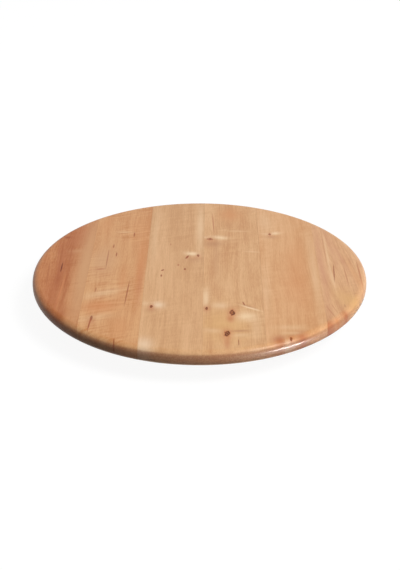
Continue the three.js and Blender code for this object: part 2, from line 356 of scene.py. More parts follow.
# %% [markdown]
# ## Pilot holes under the board
# Four wood screws hold the swivel's upper plate to the underside of the board. Each goes into a
# drilled pilot hole, which a thin cylinder cuts. The plain model's screws say where the holes are.

# %% Drill the board
PILOT_RADIUS = 1.5 * MM
PILOT_SPARE = 1 * MM
HOLE_STEPS = 32


def middle_of(node):
    """The middle of a plain solid's box, seen from above."""
    low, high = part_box(node)
    return (low.x + high.x) / 2, (low.y + high.y) / 2


def drill(pieces, radius, x, y, bottom, top):
    """Drills an upright hole through whichever of the pieces is there."""
    for piece in pieces:
        across = [vertex.co.x for vertex in piece.data.vertices]
        if min(across) < x < max(across):
            bit = cylinder("drill_bit", radius, bottom, top, HOLE_STEPS, x, y)
            combine(piece, "DIFFERENCE", bit)


for number in range(1, 5):
    x, y = middle_of(f"upper_plate_screw_{number}")
    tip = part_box(f"upper_plate_screw_{number}")[1].z
    drill(board_planks, PILOT_RADIUS, x, y, BOARD_BOTTOM - PILOT_SPARE, tip + PILOT_SPARE)
for piece in board_planks:
    report(piece)

# %% [markdown]
# ## The base disc
# The base is a smaller disc of the same glued planks. Its underside has a shallow seat for each
# rubber foot, and one wide hole goes right through: the maker turns the board until the hole is
# over each screw of the upper plate in turn, and drives the screw through it.

# %% Turn, saw and drill the base
ACCESS_HOLE_RADIUS = 8 * MM
FOOT_SEAT_RADIUS = 8.3 * MM
FOOT_SEAT_DEPTH = 1 * MM
PLATE_SCREW_CIRCLE = math.hypot(*middle_of("upper_plate_screw_1"))

base_disc = wooden_disc("base_disc", BASE_RADIUS, BASE_BOTTOM, BASE_TOP, BASE_RIM)
base_planks = planks(base_disc, "base_stave", "base_plank", 4)
drill(
    base_planks,
    ACCESS_HOLE_RADIUS,
    0,
    PLATE_SCREW_CIRCLE,
    BASE_BOTTOM - PILOT_SPARE,
    BASE_TOP + PILOT_SPARE,
)
for number in range(1, 5):
    x, y = middle_of(f"lower_plate_screw_{number}")
    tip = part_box(f"lower_plate_screw_{number}")[0].z
    drill(base_planks, PILOT_RADIUS, x, y, tip - PILOT_SPARE, BASE_TOP + PILOT_SPARE)
    x, y = middle_of(f"foot_screw_{number}")
    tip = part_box(f"foot_screw_{number}")[1].z
    seat = BASE_BOTTOM + FOOT_SEAT_DEPTH
    drill(base_planks, FOOT_SEAT_RADIUS, x, y, BASE_BOTTOM - PILOT_SPARE, seat)
    drill(base_planks, PILOT_RADIUS, x, y, BASE_BOTTOM, tip + PILOT_SPARE)
for piece in base_planks:
    report(piece)

# %% [markdown]
# ## The swivel's plates
# Each plate is pressed from one steel sheet: a round track zone with a groove for the balls, a
# step, and a square flange. It could be pieced together from rings and a square, but a spun section
# keeps the sheet one even thickness through every bend. So the whole section is spun as a disc that
# is wider than the square, and then a block with rounded corners keeps only the square. A small
# bevel softens every pressed and sheared edge. The lower plate also has a hub that rises through
# the upper plate and curls over it, which is what keeps the two together.

# %% Draw the section that both plates share
TRACK_RADIUS = 27.2 * MM
BALL_RADIUS = 2.38 * MM
GROOVE_CLEARANCE = 0.12 * MM
GROOVE_STEPS = 12
TRACK_FACE = 1.2 * MM
TRACK_ZONE_RADIUS = 33.2 * MM
FLANGE_START = 35.8 * MM
PLATE_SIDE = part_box("upper_bearing_plate")[1].x * 2
PLATE_CORNER = 9 * MM
PLATE_HOLE_RADIUS = 2.25 * MM
PLATE_DISC_RADIUS = PLATE_SIDE * 0.7
PLATE_BEVEL = 0.25 * MM
SQUARE_BLOCK_HEIGHT = 30 * MM
FLANGE_FACE = BOARD_BOTTOM - SWIVEL_MIDDLE - SHEET


def formed_section():
    """A plate's section outside its inner edge, with heights above the swivel's middle plane."""
    inner = BALL_RADIUS + GROOVE_CLEARANCE
    outer = inner + SHEET
    back = TRACK_FACE + SHEET
    inner_angle = math.degrees(math.asin(TRACK_FACE / inner))
    outer_angle = math.degrees(math.asin(back / outer))
    return [
        *arc((TRACK_RADIUS, 0), inner, 180 - inner_angle, inner_angle, GROOVE_STEPS),
        (TRACK_ZONE_RADIUS, TRACK_FACE),
        (FLANGE_START, FLANGE_FACE),
        (PLATE_DISC_RADIUS, FLANGE_FACE),
        (PLATE_DISC_RADIUS, FLANGE_FACE + SHEET),
        (FLANGE_START - SHEET / 3, FLANGE_FACE + SHEET),
        (TRACK_ZONE_RADIUS - SHEET / 2, back),
        *arc((TRACK_RADIUS, 0), outer, outer_angle, 180 - outer_angle, GROOVE_STEPS),
    ]


def is_upright(edge):
    """Whether an edge of a block runs along Z."""
    along = edge.verts[0].co - edge.verts[1].co
    return abs(along.z) > max(abs(along.x), abs(along.y))


def pressed_plate(name, section, turned_over):
    """Spins a plate's section, keeps the square of it, and drills the corner holes."""
    sign = -1 if turned_over else 1
    levels = [(radius, SWIVEL_MIDDLE + sign * height) for radius, height in section]
    plate = spun(name, levels, FINE_STEPS)
    square = start(
        "square_block",
        bpy.ops.mesh.primitive_cube_add,
        size=1,
        scale=(PLATE_SIDE, PLATE_SIDE, SQUARE_BLOCK_HEIGHT),
        location=(0, 0, SWIVEL_MIDDLE),
    )
    edit(square)
    choose(square, "EDGE", is_upright)
    bpy.ops.mesh.bevel(offset=PLATE_CORNER, segments=12, affect="EDGES")
    done()
    combine(plate, "INTERSECT", square)
    for number in range(1, 5):
        x, y = middle_of(f"upper_plate_screw_{number}")
        drill([plate], PLATE_HOLE_RADIUS, x, y, BASE_BOTTOM, BOARD_TOP)
    modify(
        plate,
        "BEVEL",
        width=PLATE_BEVEL,
        segments=3,
        limit_method="ANGLE",
        angle_limit=math.radians(32),
    )
    smooth(plate)
    report(plate)
    return plate


# %% Press the two plates
HUB_RADIUS = 18.6 * MM
UPPER_PLATE_BORE = 19.4 * MM
LIP_RADIUS = 22.4 * MM
LIP_GAP = 0.25 * MM
LIP_THICKNESS = 1.1 * MM
plate_back = TRACK_FACE + SHEET

upper_plate = pressed_plate(
    "upper_plate",
    [(UPPER_PLATE_BORE, plate_back), (UPPER_PLATE_BORE, TRACK_FACE), *formed_section()],
    turned_over=False,
)
lip_inside = -(plate_back + LIP_GAP)
lip_outside = lip_inside - LIP_THICKNESS
lower_plate = pressed_plate(
    "lower_plate",
    [
        (HUB_RADIUS - SHEET, plate_back),
        (HUB_RADIUS - SHEET, lip_outside),
        (LIP_RADIUS, lip_outside),
        (LIP_RADIUS, lip_inside),
        (HUB_RADIUS, lip_inside),
        (HUB_RADIUS, TRACK_FACE),
        *formed_section(),
    ],
    turned_over=True,
)

# %% [markdown]
# ## Balls and their cage
# The balls are polished steel. A ready-made sphere has two poles where its faces pinch, and they
# show in a mirror finish. So a ball is a small cube, subdivided and cast to a sphere, which gives
# even four-sided faces all over. The cage is a moulded nylon ring with one round pocket for each
# ball, and a low collar round each pocket that the ball snaps into. The ring is spun, the collars
# are joined to it, and only then are the pockets cut, so that they go cleanly through both.

# %% Make the balls
BALL_COUNT = 16

first_ball = start(
    "steel_ball_1",
    bpy.ops.mesh.primitive_cube_add,
    size=2 * BALL_RADIUS,
    location=(0, 0, 0),
)
edit(first_ball)
bpy.ops.mesh.subdivide(number_cuts=7)
done()
modify(first_ball, "CAST", cast_type="SPHERE", factor=1, size=BALL_RADIUS, use_radius_as_size=False)
pick(first_ball)
bpy.ops.object.shade_smooth()
balls = []
for number in range(1, BALL_COUNT + 1):
    low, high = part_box(f"ball_{number}")
    balls.append(copy_of(first_ball, f"bearing_ball_{number}", offset=(low + high) / 2))
bpy.data.objects.remove(first_ball)
report(balls[0])

# %% Mould the cage
CAGE_INNER = 22.7 * MM
CAGE_OUTER = 31.7 * MM
CAGE_HALF = 0.9 * MM
COLLAR_RADIUS = 3.5 * MM
COLLAR_HALF = 1.05 * MM
POCKET_RADIUS = 2.6 * MM
CAGE_BEVEL = 0.12 * MM

cage = spun(
    "ball_spacer_ring",
    [
        (CAGE_INNER, SWIVEL_MIDDLE - CAGE_HALF),
        (CAGE_OUTER, SWIVEL_MIDDLE - CAGE_HALF),
        (CAGE_OUTER, SWIVEL_MIDDLE + CAGE_HALF),
        (CAGE_INNER, SWIVEL_MIDDLE + CAGE_HALF),
    ],
    FINE_STEPS,
)
for radius, half, operation in (
    (COLLAR_RADIUS, COLLAR_HALF, "UNION"),
    (POCKET_RADIUS, 2 * COLLAR_HALF, "DIFFERENCE"),
):
    for number in range(1, BALL_COUNT + 1):
        x, y = middle_of(f"ball_{number}")
        bottom, top = SWIVEL_MIDDLE - half, SWIVEL_MIDDLE + half
        button = cylinder("button", radius, bottom, top, HOLE_STEPS, x, y)
        combine(cage, operation, button)
modify(
    cage,
    "BEVEL",
    width=CAGE_BEVEL,
    segments=2,
    limit_method="ANGLE",
    angle_limit=math.radians(40),
)
smooth(cage)
report(cage)

# %% [markdown]
# ## Screws
# All twelve fixings are pan-head wood screws. A bump pattern could fake the thread, but a real
# ridge still holds up in a close view. The core and head are one spun outline, a tapered cross is
# cut into the head, and the thread is a small triangle swept along a helix by the Screw modifier.
# Each set is one screw, modelled pointing down and copied to its four places.

# %% Turn a screw
SCREW_CORE = 1.2 * MM
SCREW_THREAD = 1.75 * MM
SCREW_PITCH = 1.3 * MM
THREAD_SINK = 0.1 * MM
THREAD_HALF_WIDTH = 0.32 * SCREW_PITCH
THREAD_STEPS_PER_TURN = 24
SCREW_HEAD_RADIUS = 3.5 * MM
SCREW_HEAD_HEIGHT = 2.1 * MM
SCREW_POINT = 3 * MM
CROSS_LENGTH = 3.6 * MM
CROSS_WIDTH = 0.85 * MM
CROSS_DEPTH = 1.3 * MM
CROSS_TAPER = 0.45
HEAD_EDGE = 0.15 * MM
HEAD_WALL = 0.8 * MM


def cross_arm(along_x):
    """One arm of the cross recess: a bar that narrows towards its floor."""
    size = (CROSS_LENGTH, CROSS_WIDTH) if along_x else (CROSS_WIDTH, CROSS_LENGTH)
    arm = start(
        "cross_arm",
        bpy.ops.mesh.primitive_cube_add,
        size=1,
        scale=(*size, 2 * CROSS_DEPTH),
        location=(0, 0, SCREW_HEAD_HEIGHT),
    )
    edit(arm)
    choose(arm, "FACE", lambda face: face.normal.z < -0.9)
    bpy.ops.transform.resize(value=(CROSS_TAPER, CROSS_TAPER, 1))
    done()
    return arm


def screw_thread(length):
    """A helical ridge on the straight part of the shank, with its root sunk into the core."""
    turns = (length - SCREW_POINT - SCREW_PITCH) / SCREW_PITCH
    steps = round(THREAD_STEPS_PER_TURN * turns)
    root = SCREW_CORE - THREAD_SINK
    half = THREAD_HALF_WIDTH
    bottom = SCREW_POINT - length
    outline = [(root, bottom), (root, bottom + 2 * half), (SCREW_THREAD, bottom + half)]
    ridge = drawn("ridge", outline)
    done()
    modify(
        ridge,
        "SCREW",
        angle=2 * math.pi * turns,
        screw_offset=SCREW_PITCH * turns,
        steps=steps,
        render_steps=steps,
        use_smooth_shade=False,
    )
    edit(ridge)
    bpy.ops.mesh.fill_holes(sides=4)
    bpy.ops.mesh.select_all(action="SELECT")
    bpy.ops.mesh.normals_make_consistent(inside=False)
    done()
    return ridge


def wood_screw(length):
    """A screw with the underside of its head at the origin and its point below."""
    crown_height = SCREW_HEAD_HEIGHT - HEAD_WALL
    crown = [
        (SCREW_HEAD_RADIUS * math.cos(a), HEAD_WALL + crown_height * math.sin(a))
        for a in (math.radians(15 * i) for i in range(6))
    ]
    outline = [
        (0, -length),
        (SCREW_CORE * 0.5, SCREW_POINT * 0.45 - length),
        (SCREW_CORE, SCREW_POINT - length),
        (SCREW_CORE, 0),
        (SCREW_HEAD_RADIUS - HEAD_EDGE, 0),
        (SCREW_HEAD_RADIUS, HEAD_EDGE),
        *crown,
        (0, SCREW_HEAD_HEIGHT),
    ]
    screw = spun("screw", outline, COARSE_STEPS)
    combine(screw, "UNION", screw_thread(length))
    combine(screw, "DIFFERENCE", cross_arm(along_x=True))
    combine(screw, "DIFFERENCE", cross_arm(along_x=False))
    smooth(screw, 30)
    report(screw)
    return screw


def screw_set(stem, node_stem, length, head_down):
    """Four copies of a screw where the plain model has them."""
    model = wood_screw(length)
    made = []
    for number in range(1, 5):
        low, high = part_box(f"{node_stem}_{number}")
        x, y = middle_of(f"{node_stem}_{number}")
        seat = low.z + SCREW_HEAD_HEIGHT if head_down else high.z - SCREW_HEAD_HEIGHT
        made.append(copy_of(model, f"{stem}_{number}", (x, y, seat), turned_over=head_down))
    bpy.data.objects.remove(model)
    return made


LONG_SCREW = 12 * MM
SHORT_SCREW = 10 * MM
upper_screws = screw_set("upper_screw", "upper_plate_screw", LONG_SCREW, head_down=True)
lower_screws = screw_set("lower_screw", "lower_plate_screw", SHORT_SCREW, head_down=False)
foot_fixings = screw_set("foot_fixing", "foot_screw", SHORT_SCREW, head_down=True)

# %% [markdown]
# ## Rubber feet and washers
# A foot is a moulded rubber button. Its pocket hides a washer and the screw's head, so that only
# rubber touches the table, and one ring-shaped groove in the sole helps it to grip. A cylinder with
# bevels could do for the outside, but the pocket and the groove come for free when the whole
# section is drawn once and spun. The washers are stamped from sheet, with the burr rounded off.

# %% Mould a foot and stamp a washer
FOOT_RADIUS = 8 * MM
FOOT_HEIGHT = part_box("rubber_foot_1")[1].z
FOOT_POCKET_RADIUS = 4.4 * MM
FOOT_POCKET_DEPTH = 3.4 * MM
FOOT_EDGE = 1 * MM
FOOT_HOLE = 1.8 * MM
SOLE_GROOVE_RADIUS = 5.8 * MM
SOLE_GROOVE = 0.35 * MM
POCKET_MOUTH = 0.3 * MM
WASHER_BORE = 1.9 * MM
WASHER_RADIUS = 4 * MM
WASHER_EDGE = 0.12 * MM

model_foot = spun(
    "foot",
    [
        *arc((FOOT_POCKET_RADIUS + POCKET_MOUTH, POCKET_MOUTH), POCKET_MOUTH, 180, 270, 4),
        *arc((SOLE_GROOVE_RADIUS, 0), SOLE_GROOVE, 180, 0, 6),
        *arc((FOOT_RADIUS - FOOT_EDGE, FOOT_EDGE), FOOT_EDGE, -90, 0, 8),
        (FOOT_RADIUS, FOOT_HEIGHT),
        (FOOT_HOLE, FOOT_HEIGHT),
        (FOOT_HOLE, FOOT_POCKET_DEPTH),
        (FOOT_POCKET_RADIUS, FOOT_POCKET_DEPTH),
    ],
    MEDIUM_STEPS,
)
smooth(model_foot, 30)
report(model_foot)

washer_bottom, washer_top = (corner.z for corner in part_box("foot_washer_1"))
model_washer = spun(
    "washer",
    [
        (WASHER_BORE, washer_bottom),
        (WASHER_RADIUS - WASHER_EDGE, washer_bottom),
        (WASHER_RADIUS, washer_bottom + WASHER_EDGE),
        (WASHER_RADIUS, washer_top - WASHER_EDGE),
        (WASHER_RADIUS - WASHER_EDGE, washer_top),
        (WASHER_BORE, washer_top),
    ],
    COARSE_STEPS,
)
smooth(model_washer, 30)
report(model_washer)

feet = []
washers = []
for number in range(1, 5):
    place = (*middle_of(f"rubber_foot_{number}"), 0)
    feet.append(copy_of(model_foot, f"foot_{number}", place))
    washers.append(copy_of(model_washer, f"washer_{number}", place))
bpy.data.objects.remove(model_foot)
bpy.data.objects.remove(model_washer)

# %% [markdown]
# ## What rides on what
# Three bodies turn separately: the base, the cage with its balls, and the turning board. Every
# fine piece is tied to one of them, says which plain solid it stands for, and names its finish.

# %% Tie the pieces to their bodies
SETS = (
    (board_planks, "turntable", "board_stave", "board_wood"),
    (base_planks, "base", "base_stave", "base_wood"),
    (balls, "cage", "ball", "ball_steel"),
    (upper_screws, "turntable", "upper_plate_screw", "zinc_steel"),
    (lower_screws, "base", "lower_plate_screw", "zinc_steel"),
    (foot_fixings, "base", "foot_screw", "zinc_steel"),
    (feet, "base", "rubber_foot", "rubber"),
    (washers, "base", "foot_washer", "zinc_steel"),
)
for pieces, body, node_stem, slot in SETS:
    for number, piece in enumerate(pieces, 1):
        mount(piece, body, f"{node_stem}_{number}")
mount(upper_plate, "turntable", "upper_bearing_plate")
mount(lower_plate, "base", "lower_bearing_plate")
mount(cage, "cage", "ball_cage")
print("pieces:", sum(len(pieces) for pieces, *_ in SETS) + 3)

# %% [markdown]
# ## Arithmetic with sockets
# A finish such as wood is mostly arithmetic on the place of each point. Written node by node that
# is hard to read, so a small class wraps a socket: adding or multiplying two wrapped sockets adds
# the Math node that does it, and an expression in Python becomes a node tree.

# %% A wrapped socket
def colour(red, green, blue):
    """A screen colour, with parts from 0 to 255, as the linear colour that shaders use."""
    linear = [
        part / 12.92 if part <= 0.04045 else ((part + 0.055) / 1.055) ** 2.4
        for part in (red / 255, green / 255, blue / 255)
    ]
    return (*linear, 1)


class Wire:
    """One output socket. Arithmetic on wires and numbers adds Math nodes."""

    def __init__(self, tree, socket=None):
        self.tree = tree
        self.socket = socket

    def node(self, kind, settings=None, inputs=None, output=0):
        """Adds a node: its settings first, then its sockets. Gives one of its outputs."""
        made = self.tree.nodes.new(kind)
        for setting, value in (settings or {}).items():
            if setting == "stops":
                ramp = made.color_ramp
                while len(ramp.elements) < len(value):
                    ramp.elements.new(1)
                for element, (position, stop_colour) in zip(ramp.elements, value):
                    element.position = position
                    element.color = stop_colour
            else:
                setattr(made, setting, value)
        for socket, value in (inputs or {}).items():
            if isinstance(value, Wire):
                self.tree.links.new(value.socket, made.inputs[socket])
            else:
                made.inputs[socket].default_value = value
        return Wire(self.tree, made.outputs[output])

    def maths(self, operation, *others, clamp=False):
        """A Math node on this wire and up to two more wires or numbers."""
        settings = {"operation": operation, "use_clamp": clamp}
        return self.node("ShaderNodeMath", settings, dict(enumerate((self, *others))))

    def __add__(self, other):
        return self.maths("ADD", other)

    __radd__ = __add__

    def __sub__(self, other):
        return self.maths("SUBTRACT", other)

    def __rsub__(self, other):
        return self.node("ShaderNodeMath", {"operation": "SUBTRACT"}, {0: other, 1: self})

    def __mul__(self, other):
        return self.maths("MULTIPLY", other)

    __rmul__ = __mul__

    def __truediv__(self, other):
        return self.maths("DIVIDE", other)

    def squared(self):
        return self.maths("MULTIPLY", self)

    def fades(self):
        """1 where this wire is 0, falling smoothly to nothing by about 2 on either side."""
        return (-1 * self.squared()).maths("EXPONENT")

    def between(self, low, high):
        """0 below low, 1 above high, and a smooth step from one to the other."""
        settings = {"interpolation_type": "SMOOTHSTEP"}
        limits = {"Value": self, "From Min": low, "From Max": high}
        return self.node("ShaderNodeMapRange", settings, limits)

    def clamped(self):
        return self.maths("ADD", 0.0, clamp=True)

    def blend(self, first, second):
        """A colour that goes from the first to the second as this wire goes from 0 to 1."""
        colours = {0: self, 6: first, 7: second}
        return self.node("ShaderNodeMix", {"data_type": "RGBA"}, colours, output=2)

    def noise(self, scales, seed, detail=2.0, roughness=0.5):
        """Noise at this place, stretched by three scales. It stays near 0.5."""
        shifted = {0: self, 1: scales, 2: (seed, seed * 0.7, seed * 1.3)}
        stretched = self.node("ShaderNodeVectorMath", {"operation": "MULTIPLY_ADD"}, shifted)
        inputs = {"Vector": stretched, "Scale": 1.0, "Detail": detail, "Roughness": roughness}
        return self.node("ShaderNodeTexNoise", {}, inputs)

    def bump(self, strength, distance=0.0001):
        """The normal of a surface with a relief as high as this wire."""
        inputs = {"Strength": strength, "Distance": distance, "Height": self}
        return self.node("ShaderNodeBump", {}, inputs)


def finish_named(name, **uniform):
    """A new material with a Principled shader, whose uniform values are set on its own sockets."""
    material = bpy.data.materials.new(name)
    material.use_nodes = True
    shader = material.node_tree.nodes["Principled BSDF"]
    for socket, value in uniform.items():
        shader.inputs[socket.replace("_", " ").title().replace("Ior", "IOR")].default_value = value
    return material, shader, Wire(material.node_tree)


def feed(shader, **varying):
    """Links wires to the Principled shader's sockets."""
    for socket, wire in varying.items():
        wire.tree.links.new(wire.socket, shader.inputs[socket.replace("_", " ").title()])


def wear(piece, material):
    """Gives a piece one material."""
    piece.data.materials.clear()
    piece.data.materials.append(material)


print("shader helpers ready")

# %% [markdown]
# ## Lacquered wood
# Every plank comes from another tree, so each has its own tones, seed, knots and stains, and the
# recipe is shared. The recipe works in millimetres on the place of each point inside the wood, so
# the grain runs round the rim as it does on a real board.
#
# * Knots push the grain aside, as a stone does a stream.
# * Growth rings are waves in circles round a pith that lies far below the plank.
# * Broad bands, narrow streaks and fibres are noise stretched along the grain.
# * Curl is a faint ripple across the grain, where the fibres wave up and down.
# * Stains are soft oval spots of colour, and so are the painted highlights and painted shade beside
#   the knots. A knot is a ringed oval with a dark edge.
# * Where the rim cuts across the fibres, the end grain drinks more lacquer and turns darker.
#
# An image of real wood would be quicker, but it would smear over the rim and repeat from plank to
# plank. Formulas give every plank a figure of its own that runs right through the wood.

# %% What a plank is made of
@dataclass
class Spot:
    """An oval of colour on a plank: place and half-widths in millimetres, turned by degrees."""

    x: float
    y: float
    across: float
    along: float
    tint: tuple
    strength: float
    turn: float = 0
    crisp: bool = False


def streak(x, y, across, along, tint, strength, turn=0):
    """A thin dark streak that minerals left in the wood: a spot with a crisp edge."""
    return Spot(x, y, across, along, tint, strength, turn, crisp=True)


@dataclass
class Knot:
    """A small branch, sawn across at a slant: its place and half its width in millimetres."""

    x: float
    y: float
    radius: float
    strength: float = 1


@dataclass
class Plank:
    """The looks of one plank. Curl and rings say how strongly those figures show, and lean is
    how far the grain drifts sideways for each millimetre along the plank."""

    seed: float
    light: tuple
    dark: tuple
    knots: tuple = ()
    spots: tuple = ()
    curl: float = 0.3
    rings: float = 0.3
    lean: float = 0


KNOT_CORE = colour(60, 20, 6)
KNOT_WOOD = colour(160, 92, 50)
KNOT_EDGE = colour(34, 8, 0)
KNOT_HALO = colour(190, 108, 64)
KNOT_SLANT = 2.0
END_GRAIN = colour(134, 80, 58)
END_GRAIN_START = BOARD_RADIUS / MM - 2.4
END_GRAIN_FULL = BOARD_RADIUS / MM - 0.6
GLUE_LINE = colour(140, 92, 58)
GLUE_LINE_HALF = 0.25
PITH_DEPTH = 60
RINGS_PER_MM = 1.1
RING_WANDER = 26
SWAY = 14
CURL_SLANT = 0.3


# %% [markdown]
# The grain has a coordinate of its own: how far across the fibres a point lies. It starts as X,
# leans and sways a little along the plank, and is pushed aside near each knot. Whatever is drawn
# with it, such as a ring or a streak, then follows the fibres.

# %% Bend the grain and draw the rings
def across_grain(millimetres, x, y, plank):
    """How far across the fibres each point lies, in millimetres."""
    grain_x = x - y * plank.lean
    for knot in plank.knots:
        across = x - knot.x
        along = (y - knot.y) * 0.5
        spread = across.squared() + along.squared() + 4 * knot.radius**2
        grain_x = grain_x - across / spread * (3 * knot.radius**2)
    sway = millimetres.noise((0.01, 0.006, 0.01), detail=1, seed=plank.seed)
    return grain_x + (sway - 0.5) * SWAY


def growth_rings(millimetres, from_middle, z, plank):
    """Waves between -0.5 and 0.5, in circles round a pith that lies well below the plank."""
    deep = z + PITH_DEPTH
    distance = (from_middle.squared() + deep.squared()).maths("SQRT")
    wander = millimetres.noise((0.006, 0.009, 0.006), seed=plank.seed + 5)
    return (distance * RINGS_PER_MM + wander * RING_WANDER).maths("SINE") * 0.5


# %% [markdown]
# Spots and knots are laid over the grain one after another. Most spots are like stains wiped onto
# bare wood, and the pale and dark ones beside the knots are painted highlights and painted shade.
# A ragged factor, made of the streaks and the curl, frays their outlines so that none of them looks
# stamped. A knot is a branch that was sawn at a slant, so it shows as an oval that is longer along
# the plank: a dark core, brown wood, a black ring of bark, and a halo in the wood around it.

# %% Lay spots and knots over the wood
def spot_mask(x, y, ragged, spot):
    """1 in the middle of a spot, fading out round it, or with a crisp edge."""
    turn = math.radians(spot.turn)
    off_x = x - spot.x
    off_y = y - spot.y
    if spot.turn:
        off_x, off_y = (
            off_x * math.cos(turn) + off_y * math.sin(turn),
            off_y * math.cos(turn) - off_x * math.sin(turn),
        )
    oval = ((off_x / spot.across).squared() + (off_y / spot.along).squared()).maths("SQRT")
    if spot.crisp:
        return 1 - (oval * ragged).between(0.6, 1.2)
    return (oval * ragged).fades()


def with_spots(wood, x, y, ragged, plank):
    """The wood with the plank's spots over it."""
    for spot in plank.spots:
        mask = spot_mask(x, y, ragged, spot) * spot.strength
        wood = mask.clamped().blend(wood, spot.tint)
    return wood


KNOT_STOPS = (
    (0.0, KNOT_CORE), (0.2, KNOT_WOOD), (0.5, KNOT_WOOD), (0.75, KNOT_EDGE), (1.0, KNOT_HALO)
)


def with_knots(wood, millimetres, x, y, plank):
    """The wood with the plank's knots over it."""
    wobble = (millimetres.noise((0.5, 0.25, 0.5), detail=3, seed=plank.seed + 43) - 0.5) * 1.4
    for knot in plank.knots:
        slanting = (y - knot.y) / KNOT_SLANT
        away = ((x - knot.x).squared() + slanting.squared()).maths("SQRT") / knot.radius
        away = away + wobble
        halo = ((away * 0.45).fades() * (0.5 * knot.strength)).clamped()
        wood = halo.blend(wood, KNOT_HALO)
        ringed = wood.node("ShaderNodeValToRGB", {"stops": KNOT_STOPS}, {0: away})
        wood = ((1 - away.between(0.9, 1.35)) * knot.strength).clamped().blend(wood, ringed)
    return wood


# %% [markdown]
# All of that comes together in one material. Rings, curl and four layers of noise, each stretched
# along the grain by a different amount, add up to one tone that picks between the plank's light
# and dark colours.
# The lacquer is a thin, slightly rough coat, with a little gloss left in the wood below it. A faint
# bump follows the fibres, as they can still be felt through one coat of lacquer.

# %% Mix the lacquered wood
def lacquered_wood(name, plank):
    """Sawn, sanded and lacquered wood for one plank."""
    material, shader, w = finish_named(
        name, coat_weight=0.12, coat_roughness=0.15, coat_ior=1.5, specular_ior_level=0.1
    )
    place = w.node("ShaderNodeTexCoord", output=3)
    millimetres = w.node("ShaderNodeVectorMath", {"operation": "SCALE"}, {0: place, "Scale": 1 / MM})
    x, y, z = (
        w.node("ShaderNodeSeparateXYZ", {}, {0: millimetres}, output=axis) for axis in range(3)
    )
    low_edge, high_edge = plank_edges[name]

    grain_x = across_grain(millimetres, x, y, plank)
    ring = growth_rings(millimetres, grain_x - (low_edge + high_edge) / 2, z, plank)
    grain = w.node("ShaderNodeCombineXYZ", {}, {0: grain_x, 1: y, 2: z})
    broad = grain.noise((0.03, 0.004, 0.03), seed=plank.seed + 11)
    bands = grain.noise((0.13, 0.007, 0.13), seed=plank.seed + 17)
    streaks = grain.noise((0.7, 0.018, 0.7), detail=3, roughness=0.6, seed=plank.seed + 23)
    fibres = grain.noise((1.5, 0.14, 1.5), roughness=0.6, seed=plank.seed + 29)
    slanted = w.node("ShaderNodeCombineXYZ", {}, {0: x, 1: y - x * CURL_SLANT, 2: z})
    curl = slanted.noise((0.035, 0.22, 0.035), seed=plank.seed + 31)
    curl_patches = millimetres.noise((0.02, 0.012, 0.02), detail=1, seed=plank.seed + 37)

    tone = (
        0.5
        + (broad - 0.5) * 1.5
        + (bands - 0.5) * 1.1
        + (streaks - 0.5) * 1.5
        + (fibres - 0.5) * 1.3
        + ring * (0.35 * plank.rings)
        + (curl - 0.5) * curl_patches.between(0.38, 0.58) * (2.6 * plank.curl)
    )
    wood = tone.clamped().blend(plank.light, plank.dark)
    ragged = 1 + (streaks - 0.5) * 0.7 + (curl - 0.5) * 0.5
    wood = with_spots(wood, x, y, ragged, plank)
    flecks = grain.noise((1.6, 0.16, 1.6), detail=1, seed=plank.seed + 41).between(0.7, 0.78)
    wood = (flecks * 0.22).blend(wood, KNOT_HALO)
    wood = with_knots(wood, millimetres, x, y, plank)

    radius = (x.squared() + y.squared()).maths("SQRT")
    cut_across = (y / radius).maths("ABSOLUTE")
    rim = radius.between(END_GRAIN_START, END_GRAIN_FULL) * cut_across
    wood = (rim * (0.4 + streaks * 0.5)).clamped().blend(wood, END_GRAIN)
    left_seam = ((x - low_edge) / GLUE_LINE_HALF).fades()
    right_seam = ((x - high_edge) / GLUE_LINE_HALF).fades()
    wood = ((left_seam + right_seam) * 0.15).clamped().blend(wood, GLUE_LINE)

    relief = streaks * 0.5 + fibres * 0.5 - flecks * 0.4
    rough = 0.4 + (fibres - 0.5) * 0.15 + rim * 0.08
    feed(shader, base_color=wood, roughness=rough, normal=relief.bump(0.12, 0.0002))
    return material


plank_edges = {}
for piece in board_planks + base_planks:
    across = [vertex.co.x / MM for vertex in piece.data.vertices]
    plank_edges[piece.name] = (min(across), max(across))
print({name: tuple(round(edge, 1) for edge in edges) for name, edges in plank_edges.items()})

# %% [markdown]
# ## The planks, one by one
# From left to right: a reddish plank, a tan one with orange bands and curl, a pale one, a tan one
# with two dark knots, a plain tan one, and a pinkish one with slanting grain. Each plank lists its
# knots and spots as a furniture maker would chalk them on: where they are on the board, how wide
# and long, in which tint and how strong. The narrow ones are mineral streaks.
# The pale and dark spots beside the knots are painted highlights and painted shade.

# %% Finish the board's planks
STREAK = colour(148, 64, 28)
DARK_STREAK = colour(108, 36, 8)
RUST = colour(180, 104, 64)
RED_BROWN = colour(168, 92, 48)
ORANGE = colour(208, 136, 85)
SOFT_ORANGE = colour(212, 149, 99)
HONEY = colour(218, 170, 112)
SAND = colour(205, 154, 109)
TAN = colour(208, 160, 118)
# Painted shade: mostly the darker side of the sheen beside knots and bright lines.
SHADOW = colour(188, 134, 94)
PINK = colour(204, 146, 112)
PALE = colour(230, 194, 153)
# Painted highlight: the pale sheen beside knots and along a branch line.
PAINTED_HIGHLIGHT = colour(248, 220, 180)
CREAM = colour(238, 210, 177)

